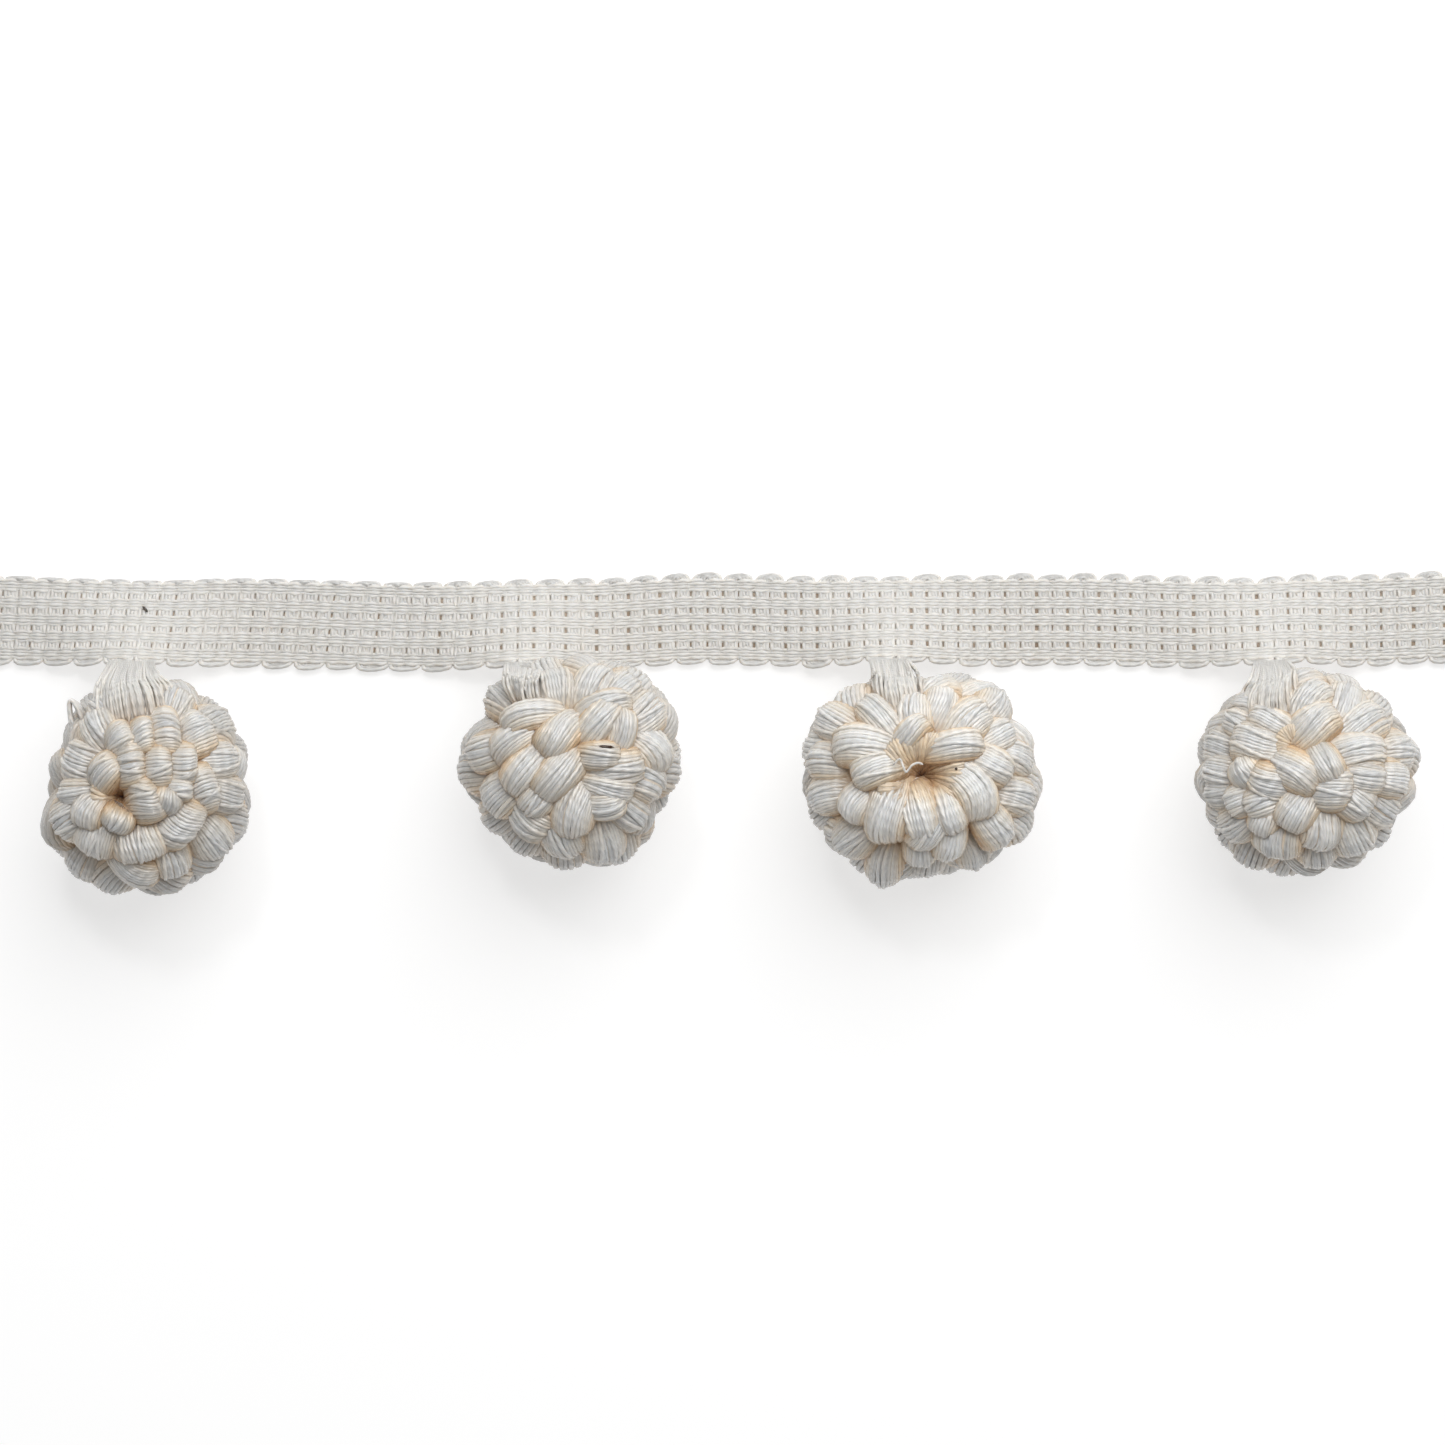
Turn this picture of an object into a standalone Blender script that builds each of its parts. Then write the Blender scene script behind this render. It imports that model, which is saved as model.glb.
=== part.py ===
# Pompom fringe trim: a woven heading tape that lies on a table, with four looped
# yarn pompoms beside it, each on a short woven hanger that leaves the tape's lower edge.
# Units are metres. +X runs along the tape, +Y points from the pompoms to the tape,
# +Z is up, and the table is z = 0. The origin is under the middle of the trim.
import math
import random
from collections import namedtuple

import bmesh
import bpy
from mathutils import Vector

MM = 0.001

# Heading tape: one cross rib for each pass of its thick weft.
RIB_PITCH = 2.35 * MM
RIB_COUNT = 96
TAPE_LENGTH = RIB_COUNT * RIB_PITCH
TAPE_WIDTH = 13.0 * MM
TAPE_THICKNESS = 1.4 * MM
TAPE_EDGE_THICKNESS = 1.0 * MM
RIB_RELIEF = 0.25 * MM
EDGE_INSET = 1.3 * MM
SCALLOP = 0.3 * MM
RIBS_PER_SCALLOP = 2
HANGER_LIFT = 4.2 * MM
LIFT_REACH = 19.0 * MM

# The tape's upper edge as it lies: how far along the trim, and its place across.
EdgeRow = namedtuple("EdgeRow", "along across")
TAPE_EDGE = [
    EdgeRow(-113, 24.1),
    EdgeRow(-84, 23.3),
    EdgeRow(-74, 23.6),
    EdgeRow(-41, 22.9),
    EdgeRow(-22, 23.2),
    EdgeRow(-3, 24.0),
    EdgeRow(17, 23.6),
    EdgeRow(50, 23.9),
    EdgeRow(79, 23.3),
    EdgeRow(89, 23.7),
    EdgeRow(113, 24.4),
]

# Pompoms, in millimetres. hanger is the place along the tape of the hanger, eye the lean
# of the rosette's middle from straight up, open_eye says that no petal closes it, turn is
# the angle of its first petals, and outline is the reach seen from above, every 30 degrees
# anticlockwise from +X.
Pompom = namedtuple("Pompom", "name x y hanger eye open_eye turn outline")
POMPOMS = [
    Pompom(
        "1", -84.9, -7.1, -88.1, (0.06, 0.04), False, 10,
        (15.5, 15.9, 16.1, 16.4, 15.5, 14.2, 14.2, 17.2, 16.8, 16.9, 16.4, 16.4),
    ),
    Pompom(
        "2", -22.2, -3.9, -29.5, (0.15, 0.14), False, 35,
        (16.4, 17.2, 17.0, 15.5, 16.3, 15.3, 16.8, 15.8, 15.4, 15.8, 16.6, 15.0),
    ),
    Pompom(
        "3", 29.4, -5.9, 24.8, (-0.02, 0.03), True, 0,
        (17.6, 17.0, 17.2, 15.0, 16.4, 18.4, 18.0, 17.3, 17.2, 14.8, 15.6, 17.8),
    ),
    Pompom(
        "4", 86.2, -5.3, 81.8, (-0.20, -0.12), False, 20,
        (16.8, 15.8, 15.2, 15.2, 15.8, 16.6, 16.8, 16.7, 16.8, 15.0, 15.3, 15.0),
    ),
]
BALL_HEIGHT = 14.0 * MM
BALL_RISE = 14.6 * MM
CORE_RADIUS = 9.4 * MM
CORE_DIVISIONS = 2
ROOT_RADIUS = 6.5 * MM
JITTER_DEGREES = 2.5
REACH_SPREAD = 0.05
SEED = 11

# Rows of petals round the rosette's axis: degrees from its eye, and petals in the row.
PetalRow = namedtuple("PetalRow", "colatitude petals")
PETAL_ROWS = [
    PetalRow(0, 1),
    PetalRow(27, 6),
    PetalRow(54, 11),
    PetalRow(81, 13),
    PetalRow(108, 12),
    PetalRow(135, 9),
    PetalRow(162, 4),
]
PETAL_SPAN = math.radians(27)
PETAL_GAP = 0.45 * MM
FLOOR_LEAN = 0.82

# A petal's sections: share of its reach, and share of its full width there.
PetalSection = namedtuple("PetalSection", "reach width")
PETAL_SECTIONS = [
    PetalSection(0.72, 1.00),
    PetalSection(0.91, 0.90),
    PetalSection(1.00, 0.46),
]

# Hanger: a band of two weft passes, from the tape's edge down into the pompom.
HANGER_WIDTH = 5.2 * MM
HANGER_THICKNESS = 1.2 * MM
NECK_WIDTH = 4.6 * MM
NECK_THICKNESS = 2.8 * MM
NECK_REACH = 11.4 * MM
NECK_DROP = math.radians(12)
HANGER_DROP = math.radians(27)
HANGER_CLEARANCE = math.radians(26)
CLEARANCE = 0.3 * MM
HANGER_STATIONS = 5

YARN_COLOURS = {
    "heading_yarn": (0.75, 0.72, 0.65, 1.0),
    "pompom_yarn": (0.83, 0.78, 0.70, 1.0),
}
YARN_ROUGHNESS = 0.7


def eased(share):
    """Share, from 0 to 1, eased at both ends."""
    return share * share * (3 - 2 * share)


def upper_edge(x):
    """The tape's upper edge across the trim, at x along it."""
    along = x / MM
    for left, right in zip(TAPE_EDGE, TAPE_EDGE[1:]):
        if along <= right.along:
            break
    share = min(max((along - left.along) / (right.along - left.along), 0), 1)
    return (left.across + (right.across - left.across) * eased(share)) * MM


def tape_lift(x):
    """How far the hangers hold the tape's lower edge off the table at x."""
    near = min(abs(x - pompom.hanger * MM) for pompom in POMPOMS)
    if near >= LIFT_REACH:
        return 0.0
    return HANGER_LIFT * math.cos(math.pi * near / (2 * LIFT_REACH)) ** 2


def lower_edge(x):
    """The tape's lower edge across the trim, drawn in where the tape is banked."""
    return upper_edge(x) - math.sqrt(TAPE_WIDTH**2 - tape_lift(x) ** 2)


def loft(mesh, rings):
    """Adds a closed solid through rings of the same number of points."""
    rows = [[mesh.verts.new(point) for point in ring] for ring in rings]
    for low, high in zip(rows, rows[1:]):
        for i in range(len(low)):
            j = (i + 1) % len(low)
            mesh.faces.new((low[i], low[j], high[j], high[i]))
    mesh.faces.new(reversed(rows[0]))
    mesh.faces.new(rows[-1])


def add_part(name, mesh, collection, material=None):
    """Makes an object of a bmesh whose faces all point out."""
    bmesh.ops.recalc_face_normals(mesh, faces=mesh.faces)
    data = bpy.data.meshes.new(name)
    mesh.to_mesh(data)
    mesh.free()
    if material:
        data.materials.append(material)
    part = bpy.data.objects.new(name, data)
    collection.objects.link(part)
    return part


def yarn(name):
    material = bpy.data.materials.new(name)
    material.use_nodes = True
    shader = material.node_tree.nodes["Principled BSDF"]
    shader.inputs["Base Color"].default_value = YARN_COLOURS[name]
    shader.inputs["Roughness"].default_value = YARN_ROUGHNESS
    shader.inputs["Metallic"].default_value = 0.0
    return material


def tape_section(station):
    """One section of the tape, at a rib's crest or at the valley between two ribs."""
    x = -TAPE_LENGTH / 2 + station * RIB_PITCH / 2
    crest = station % 2 == 1
    scallop = SCALLOP * math.cos(math.pi * station / RIBS_PER_SCALLOP)
    high = upper_edge(x) + scallop
    low = lower_edge(x) - scallop
    top = TAPE_THICKNESS if crest else TAPE_THICKNESS - RIB_RELIEF
    lift = tape_lift(x)

    def point(y, height):
        return Vector((x, y, lift * (high - y) / (high - low) + height))

    return [
        point(low, 0),
        point(high, 0),
        point(high, TAPE_EDGE_THICKNESS),
        point(high - EDGE_INSET, top),
        point(low + EDGE_INSET, top),
        point(low, TAPE_EDGE_THICKNESS),
    ]


def make_tape(collection, material):
    mesh = bmesh.new()
    loft(mesh, [tape_section(station) for station in range(2 * RIB_COUNT + 1)])
    return add_part("heading_tape", mesh, collection, material)


def ball_centre(pompom):
    return Vector((pompom.x * MM, pompom.y * MM, BALL_HEIGHT))


def ball_reach(pompom, direction):
    """How far the pompom reaches from its centre in a direction, table or no table."""
    turn = math.degrees(math.atan2(direction.y, direction.x)) % 360 / 30
    left = int(turn) % 12
    share = eased(turn - int(turn))
    outline = pompom.outline
    level = (outline[left] * (1 - share) + outline[(left + 1) % 12] * share) * MM
    flat = direction.x**2 + direction.y**2
    return 1 / math.sqrt(flat / level**2 + direction.z**2 / BALL_RISE**2)


def hanger_side(pompom, drop):
    """From the pompom's centre towards its hanger, and down by an angle."""
    centre = ball_centre(pompom)
    x = pompom.hanger * MM
    away = Vector((x - centre.x, lower_edge(x) - centre.y, 0)).normalized()
    return away * math.cos(drop) - Vector((0, 0, math.sin(drop)))


def petal_places(pompom):
    """Each petal of a pompom: its direction, its row's direction, reach and half angles."""
    draw = random.Random(SEED + int(pompom.name))
    lean_x, lean_y = pompom.eye
    eye = Vector((lean_x, lean_y, 1)).normalized()
    start = (Vector((1, 0, 0)) - eye * eye.x).normalized()
    quarter = eye.cross(start)
    kept_clear = [hanger_side(pompom, drop) for drop in (NECK_DROP, HANGER_DROP)]
    places = []
    for number, row in enumerate(PETAL_ROWS):
        if row.petals == 1 and pompom.open_eye:
            continue
        tilt = math.radians(row.colatitude)
        step = 2 * math.pi / row.petals
        for i in range(row.petals):
            sway = math.radians(draw.uniform(-JITTER_DEGREES, JITTER_DEGREES))
            dip = math.radians(draw.uniform(-JITTER_DEGREES, JITTER_DEGREES))
            stretch = 1 + draw.uniform(-REACH_SPREAD, REACH_SPREAD)
            angle = math.radians(pompom.turn) + (i + 0.5 * (number % 2)) * step + sway
            outward = start * math.cos(angle) + quarter * math.sin(angle)
            direction = eye * math.cos(tilt + dip) + outward * math.sin(tilt + dip)
            along_row = quarter * math.cos(angle) - start * math.sin(angle)
            if min(direction.angle(side) for side in kept_clear) < HANGER_CLEARANCE:
                continue
            reach = ball_reach(pompom, direction) * stretch
            if direction.z < -FLOOR_LEAN:
                reach = BALL_HEIGHT / -direction.z
            half_angles = (PETAL_SPAN / 2 - abs(sway), PETAL_SPAN / 2 - abs(dip))
            places.append((direction, along_row, reach, half_angles))
    return places


def petal_rings(centre, place):
    """Four-sided sections from inside the core out to the petal's tip."""
    direction, along_row, reach, half_angles = place
    across_row = direction.cross(along_row)
    sections = [PetalSection(ROOT_RADIUS / reach, 0.9), *PETAL_SECTIONS]
    rings = []
    for section in sections:
        distance = reach * section.reach
        wide, deep = (
            (distance * math.tan(angle) - PETAL_GAP / 2) * section.width
            for angle in half_angles
        )
        middle = centre + direction * distance
        ring = [
            middle + along_row * wide * a + across_row * deep * b
            for a, b in ((-1, -1), (1, -1), (1, 1), (-1, 1))
        ]
        rings.append([Vector((p.x, p.y, max(p.z, 0))) for p in ring])
    return rings


def neck_section(pompom, distance, width, thickness):
    """A section of the neck, square to its direction."""
    direction = hanger_side(pompom, NECK_DROP)
    level = direction.cross(Vector((0, 0, 1))).normalized()
    steep = level.cross(direction)
    middle = ball_centre(pompom) + direction * distance
    return [
        middle + level * width / 2 * a + steep * thickness / 2 * b
        for a, b in ((-1, -1), (1, -1), (1, 1), (-1, 1))
    ]


def make_pompom(pompom, collection, cutters, material):
    """A wound core with its looped petals and the neck that the hanger holds."""
    centre = ball_centre(pompom)
    core = bmesh.new()
    bmesh.ops.create_icosphere(core, subdivisions=CORE_DIVISIONS, radius=CORE_RADIUS)
    bmesh.ops.translate(core, verts=core.verts, vec=centre)
    part = add_part(f"pompom_{pompom.name}", core, collection, material)

    petals = bmesh.new()
    for place in petal_places(pompom):
        loft(petals, petal_rings(centre, place))
    neck = [
        neck_section(pompom, distance, NECK_WIDTH, NECK_THICKNESS)
        for distance in (ROOT_RADIUS, NECK_REACH)
    ]
    loft(petals, neck)
    tool = add_part(f"petals_{pompom.name}", petals, cutters)
    tool.hide_render = True
    tool.display_type = "WIRE"

    union = part.modifiers.new("petals", "BOOLEAN")
    union.operation = "UNION"
    union.solver = "EXACT"
    union.use_self = True
    union.object = tool
    return part


def make_hanger(pompom, collection, material):
    """The band that leaves the tape's lower edge and ends on the pompom's neck."""
    x = pompom.hanger * MM
    y = lower_edge(x) - SCALLOP - CLEARANCE
    z = tape_lift(x) + TAPE_EDGE_THICKNESS / 2
    at_tape = [
        Vector((x + HANGER_WIDTH / 2 * a, y, z + HANGER_THICKNESS / 2 * b))
        for a, b in ((1, -1), (-1, -1), (-1, 1), (1, 1))
    ]
    at_neck = neck_section(pompom, NECK_REACH + CLEARANCE, NECK_WIDTH, NECK_THICKNESS)
    if at_neck[0].x < at_neck[1].x:
        at_neck = [at_neck[i] for i in (1, 0, 3, 2)]
    rings = []
    for station in range(HANGER_STATIONS):
        share = station / (HANGER_STATIONS - 1)
        rings.append([a.lerp(b, share) for a, b in zip(at_tape, at_neck)])
    mesh = bmesh.new()
    loft(mesh, rings)
    return add_part(f"hanger_{pompom.name}", mesh, collection, material)


def clear_scene():
    for thing in list(bpy.data.objects):
        bpy.data.objects.remove(thing)


def main():
    clear_scene()
    trim = bpy.data.collections.new("pompom_fringe_trim")
    cutters = bpy.data.collections.new("petal_tools")
    bpy.context.scene.collection.children.link(trim)
    bpy.context.scene.collection.children.link(cutters)
    heading_yarn = yarn("heading_yarn")
    pompom_yarn = yarn("pompom_yarn")
    make_tape(trim, heading_yarn)
    for pompom in POMPOMS:
        make_pompom(pompom, trim, cutters, pompom_yarn)
        make_hanger(pompom, trim, heading_yarn)


main()
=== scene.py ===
# Pompom fringe trim, laid out on a white table and seen from straight above.
# Sizes in the dictionaries are in millimetres and degrees.
import math
from collections import namedtuple

import bpy
import numpy as np
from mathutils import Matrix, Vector


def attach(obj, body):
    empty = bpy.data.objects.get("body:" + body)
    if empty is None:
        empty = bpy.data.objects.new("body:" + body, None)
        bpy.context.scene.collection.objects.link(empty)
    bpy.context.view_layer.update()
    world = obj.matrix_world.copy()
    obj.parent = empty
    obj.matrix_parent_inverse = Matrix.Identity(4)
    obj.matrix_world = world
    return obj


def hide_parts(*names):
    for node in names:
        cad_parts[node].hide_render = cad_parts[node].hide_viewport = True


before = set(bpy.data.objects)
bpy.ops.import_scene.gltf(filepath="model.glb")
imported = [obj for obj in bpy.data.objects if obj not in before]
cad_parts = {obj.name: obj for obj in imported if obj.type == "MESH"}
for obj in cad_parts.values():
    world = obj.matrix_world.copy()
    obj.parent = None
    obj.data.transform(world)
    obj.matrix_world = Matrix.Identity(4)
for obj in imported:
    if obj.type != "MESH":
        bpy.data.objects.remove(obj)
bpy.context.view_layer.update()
mm = 0.001

photo = {
    "pixelSize": 0.15,        # at the height of the heading
    "pixels": 1445,
    "centre": (0.0, 2.0),
    "cameraHeight": 720.0,
    "sensor": 36.0,
}


# Shader sums

class Wire:
    def __init__(self, board, socket):
        self.board = board
        self.socket = socket

    def __add__(self, other):
        return self.board.sum("ADD", self, other)

    def __radd__(self, other):
        return self.board.sum("ADD", other, self)

    def __sub__(self, other):
        return self.board.sum("SUBTRACT", self, other)

    def __rsub__(self, other):
        return self.board.sum("SUBTRACT", other, self)

    def __mul__(self, other):
        return self.board.sum("MULTIPLY", self, other)

    def __rmul__(self, other):
        return self.board.sum("MULTIPLY", other, self)

    def other(self, output):
        return Wire(self.board, self.socket.node.outputs[output])


class Board:
    def __init__(self, name):
        self.material = bpy.data.materials.new(name)
        self.material.use_nodes = True
        self.tree = self.material.node_tree
        self.shader = self.tree.nodes["Principled BSDF"]

    def node(self, kind, settings=None, inputs=None, output=0):
        made = self.tree.nodes.new(kind)
        for name, value in (settings or {}).items():
            if name == "stops":
                while len(made.color_ramp.elements) < len(value):
                    made.color_ramp.elements.new(1.0)
                for stop, (place, colour) in zip(made.color_ramp.elements, value):
                    stop.position = place
                    stop.color = (*colour, 1.0)
            else:
                setattr(made, name, value)
        for key, value in (inputs or {}).items():
            self.plug(made.inputs[key], value)
        return Wire(self, made.outputs[output])

    def plug(self, socket, value):
        if isinstance(value, Wire):
            self.tree.links.new(value.socket, socket)
        else:
            socket.default_value = value

    def sum(self, operation, left, right=0.0):
        return self.node("ShaderNodeMath", {"operation": operation}, {0: left, 1: right})

    def mix(self, factor, first, second, blend="MIX"):
        settings = {"data_type": "RGBA", "blend_type": blend}
        return self.node("ShaderNodeMix", settings, {0: factor, 6: first, 7: second}, 2)

    def attribute(self, name):
        return self.node("ShaderNodeAttribute", {"attribute_name": name}, output=2)


yarnLook = {
    "plyPitch": 1.5,
    "plies": 2,
    "plyBump": 0.5,
    "fibreBump": 0.3,
    "bumpDepth": 0.09,
    "roughness": 0.44,
    "shine": 0.75,
    "roughnessSpread": 0.18,
    "glow": 0.4,              # how much light goes through the yarn, and how deep
    "glowDepth": 0.7,
    "fibreScale": 2.2,
    "fibreShade": 0.18,
    "cloudScale": 160.0,      # soft changes of tone along and across the yarns
    "cloudShade": 0.25,
    "sheen": 0.15,
}


def yarnMaterial(name, stops, gloss=0.0):
    board = Board(name)
    # depth carries painted light and shade on the yarns, high on a crest and low in creases and
    # hollows; the dark flecks use its low end for their own colour
    depth = board.attribute("depth")
    # tone is the yarn's own lightness, with painted shade mixed in on the pompom petals that face
    # down
    tone = board.attribute("tone")
    uv = board.node("ShaderNodeUVMap", {"uv_map": "UVMap"})
    around = board.node("ShaderNodeSeparateXYZ", inputs={0: uv})
    length = around.other(1)
    turnsAround = around * (yarnLook["plies"] * 2 * math.pi)
    turns = turnsAround + length * (2 * math.pi / yarnLook["plyPitch"])
    ply = board.sum("SINE", turns)
    fibrePlace = board.node(
        "ShaderNodeCombineXYZ",
        inputs={0: around * 3.0 + length * 0.5, 1: length * 0.35, 2: tone * 40.0})
    fibres = board.node(
        "ShaderNodeTexNoise", {"noise_dimensions": "3D"},
        {"Vector": fibrePlace, "Scale": yarnLook["fibreScale"], "Detail": 3.0, "Roughness": 0.6})
    place = board.node("ShaderNodeTexCoord", output=3)
    clouds = board.node(
        "ShaderNodeTexNoise", {"noise_dimensions": "3D"},
        {"Vector": place, "Scale": yarnLook["cloudScale"], "Detail": 2.0})

    # painted light on a strand's crest, and painted shade, warm and dark, in the creases
    shade = depth + (clouds - 0.5) * yarnLook["cloudShade"] + (fibres - 0.5) * yarnLook["fibreShade"]
    yarn = board.node("ShaderNodeValToRGB", {"stops": stops}, {0: shade})
    grey = board.node("ShaderNodeCombineColor", inputs={0: tone, 1: tone, 2: tone})
    board.plug(board.shader.inputs["Base Color"], board.mix(1.0, yarn, grey, "MULTIPLY"))
    spread = yarnLook["roughnessSpread"]
    board.plug(
        board.shader.inputs["Roughness"],
        (fibres - 0.5) * spread + (yarnLook["roughness"] - gloss))
    height = ply * yarnLook["plyBump"] + fibres * yarnLook["fibreBump"]
    bump = board.node(
        "ShaderNodeBump",
        inputs={"Strength": 0.7, "Distance": yarnLook["bumpDepth"] * mm, "Height": height})
    board.plug(board.shader.inputs["Normal"], bump)
    board.shader.inputs["Specular IOR Level"].default_value = yarnLook["shine"]
    board.shader.inputs["Sheen Weight"].default_value = yarnLook["sheen"]
    board.shader.inputs["Sheen Roughness"].default_value = 0.4
    board.shader.inputs["Subsurface Weight"].default_value = yarnLook["glow"]
    board.shader.inputs["Subsurface Radius"].default_value = (1.0, 0.86, 0.72)
    board.shader.inputs["Subsurface Scale"].default_value = yarnLook["glowDepth"] * mm
    return board.material


# each ramp runs from the deepest painted shade, dark and warm, to the painted light on a crest
pompomYarn = yarnMaterial("pompomYarn", (
    (0.00, (0.26, 0.11, 0.045)),
    (0.14, (0.60, 0.38, 0.21)),
    (0.34, (0.81, 0.625, 0.44)),
    (0.60, (0.81, 0.73, 0.63)),
    (1.00, (0.765, 0.755, 0.735)),
), gloss=0.18)
headingYarn = yarnMaterial("headingYarn", (
    (0.00, (0.27, 0.21, 0.155)),
    (0.25, (0.63, 0.54, 0.45)),
    (0.55, (0.75, 0.715, 0.66)),
    (1.00, (0.78, 0.755, 0.715)),
), gloss=-0.12)
print("materials made")


# Yarns as lines of points, which one Geometry Nodes tree turns into tubes

def yarnTubeTree():
    tree = bpy.data.node_groups.new("yarnTubes", "GeometryNodeTree")
    face = tree.interface
    face.new_socket("Lines", in_out="INPUT", socket_type="NodeSocketGeometry")
    face.new_socket("Yarn thickness", in_out="INPUT", socket_type="NodeSocketFloat")
    face.new_socket("Sides", in_out="INPUT", socket_type="NodeSocketInt")
    face.new_socket("Yarn", in_out="INPUT", socket_type="NodeSocketMaterial")
    face.new_socket("Tubes", in_out="OUTPUT", socket_type="NodeSocketGeometry")

    def add(kind, settings=None, inputs=None):
        node = tree.nodes.new(kind)
        for name, value in (settings or {}).items():
            setattr(node, name, value)
        for key, value in (inputs or {}).items():
            if isinstance(value, bpy.types.NodeSocket):
                tree.links.new(value, node.inputs[key])
            else:
                node.inputs[key].default_value = value
        return node

    given = add("NodeGroupInput").outputs
    curves = add("GeometryNodeMeshToCurve", inputs={"Mesh": given["Lines"]})
    spline = add("GeometryNodeSplineParameter")
    measured = add(
        "GeometryNodeStoreNamedAttribute", {"data_type": "FLOAT", "domain": "POINT"},
        {"Geometry": curves.outputs[0], "Name": "lengthAlong", "Value": spline.outputs["Length"]})
    radius = add("ShaderNodeMath", {"operation": "MULTIPLY"}, {0: given["Yarn thickness"], 1: 0.5})
    points = add("ShaderNodeMath", {"operation": "ADD"}, {0: given["Sides"], 1: 1.0})
    ring = add(
        "GeometryNodeCurveArc", {"mode": "RADIUS"},
        {"Resolution": points.outputs[0], "Radius": radius.outputs[0],
         "Start Angle": 0.0, "Sweep Angle": 2 * math.pi})
    ringSpline = add("GeometryNodeSplineParameter")
    ringMeasured = add(
        "GeometryNodeStoreNamedAttribute", {"data_type": "FLOAT", "domain": "POINT"},
        {"Geometry": ring.outputs[0], "Name": "partAround", "Value": ringSpline.outputs["Factor"]})
    thick = add("GeometryNodeInputNamedAttribute", {"data_type": "FLOAT"}, {"Name": "thick"})
    tubes = add(
        "GeometryNodeCurveToMesh",
        inputs={"Curve": measured.outputs[0], "Profile Curve": ringMeasured.outputs[0],
                "Scale": thick.outputs[0]})
    around = add("GeometryNodeInputNamedAttribute", {"data_type": "FLOAT"}, {"Name": "partAround"})
    along = add("GeometryNodeInputNamedAttribute", {"data_type": "FLOAT"}, {"Name": "lengthAlong"})
    inMillimetres = add("ShaderNodeMath", {"operation": "DIVIDE"}, {0: along.outputs[0], 1: mm})
    both = add("ShaderNodeCombineXYZ", inputs={0: around.outputs[0], 1: inMillimetres.outputs[0]})
    mapped = add(
        "GeometryNodeStoreNamedAttribute", {"data_type": "FLOAT2", "domain": "CORNER"},
        {"Geometry": tubes.outputs[0], "Name": "UVMap", "Value": both.outputs[0]})
    joined = add(
        "GeometryNodeMergeByDistance", inputs={"Geometry": mapped.outputs[0], "Distance": 1e-6})
    smooth = add("GeometryNodeSetShadeSmooth", inputs={"Geometry": joined.outputs[0]})
    real = add("GeometryNodeRealizeInstances", inputs={"Geometry": smooth.outputs[0]})
    painted = add(
        "GeometryNodeSetMaterial", inputs={"Geometry": real.outputs[0], "Material": given["Yarn"]})
    add("NodeGroupOutput", inputs={"Tubes": painted.outputs[0]})
    return tree


yarnTubes = yarnTubeTree()


def linked(name, mesh):
    piece = bpy.data.objects.new(name, mesh)
    bpy.context.scene.collection.objects.link(piece)
    return piece


class Skein:
    def __init__(self):
        self.lines = []
        self.marks = {"depth": [], "thick": [], "tone": []}

    def add(self, line, depth, tone=1.0, thick=1.0, cut=False):
        depth = np.broadcast_to(depth, len(line))
        if cut:
            line = np.concatenate([line[:1], line, line[-1:]])
            line[0] += (line[0] - line[2]) * 0.01
            line[-1] += (line[-1] - line[-3]) * 0.01
            depth = np.concatenate([depth[:1], depth, depth[-1:]])
        count = len(line)
        taper = np.full(count, thick)
        taper[0] = taper[-1] = 0.0
        self.lines.append(line)
        self.marks["depth"].append(depth)
        self.marks["thick"].append(taper)
        self.marks["tone"].append(np.full(count, tone))

    def tubes(self, name, thickness, sides, material):
        points = np.concatenate(self.lines) * mm
        edges = []
        start = 0
        for line in self.lines:
            steps = np.arange(start, start + len(line) - 1)
            edges.append(np.stack([steps, steps + 1], axis=1))
            start += len(line)
        mesh = bpy.data.meshes.new(name + "Lines")
        mesh.from_pydata(points.tolist(), np.concatenate(edges).tolist(), [])
        for mark, values in self.marks.items():
            layer = mesh.attributes.new(mark, "FLOAT", "POINT")
            layer.data.foreach_set("value", np.concatenate(values).astype(np.float32))
        piece = linked(name, mesh)
        modifier = piece.modifiers.new("yarnTubes", "NODES")
        modifier.node_group = yarnTubes
        sizes = {"Yarn thickness": thickness * mm, "Sides": sides, "Yarn": material}
        for item in yarnTubes.interface.items_tree:
            if item.in_out == "INPUT" and item.name in sizes:
                modifier[item.identifier] = sizes[item.name]
        graph = bpy.context.evaluated_depsgraph_get()
        made = bpy.data.meshes.new_from_object(piece.evaluated_get(graph))
        made.name = name
        piece.modifiers.remove(modifier)
        piece.data = made
        bpy.data.meshes.remove(mesh)
        print(name, "has", sum(len(face.vertices) - 2 for face in made.polygons), "triangles")
        return piece


def smoothLine(stops, count):
    # a smooth line through a few points, at even steps
    stops = np.array(stops, float)
    padded = np.concatenate([[2 * stops[0] - stops[1]], stops, [2 * stops[-1] - stops[-2]]])
    line = []
    for place in np.linspace(0, len(stops) - 1, count):
        i = min(int(place), len(stops) - 2)
        t = place - i
        a, b, c, d = padded[i:i + 4]
        line.append(0.5 * (2 * b + (c - a) * t + (2 * a - 5 * b + 4 * c - d) * t**2
                           + (3 * b - a - 3 * c + d) * t**3))
    return np.array(line)


# The heading

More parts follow.
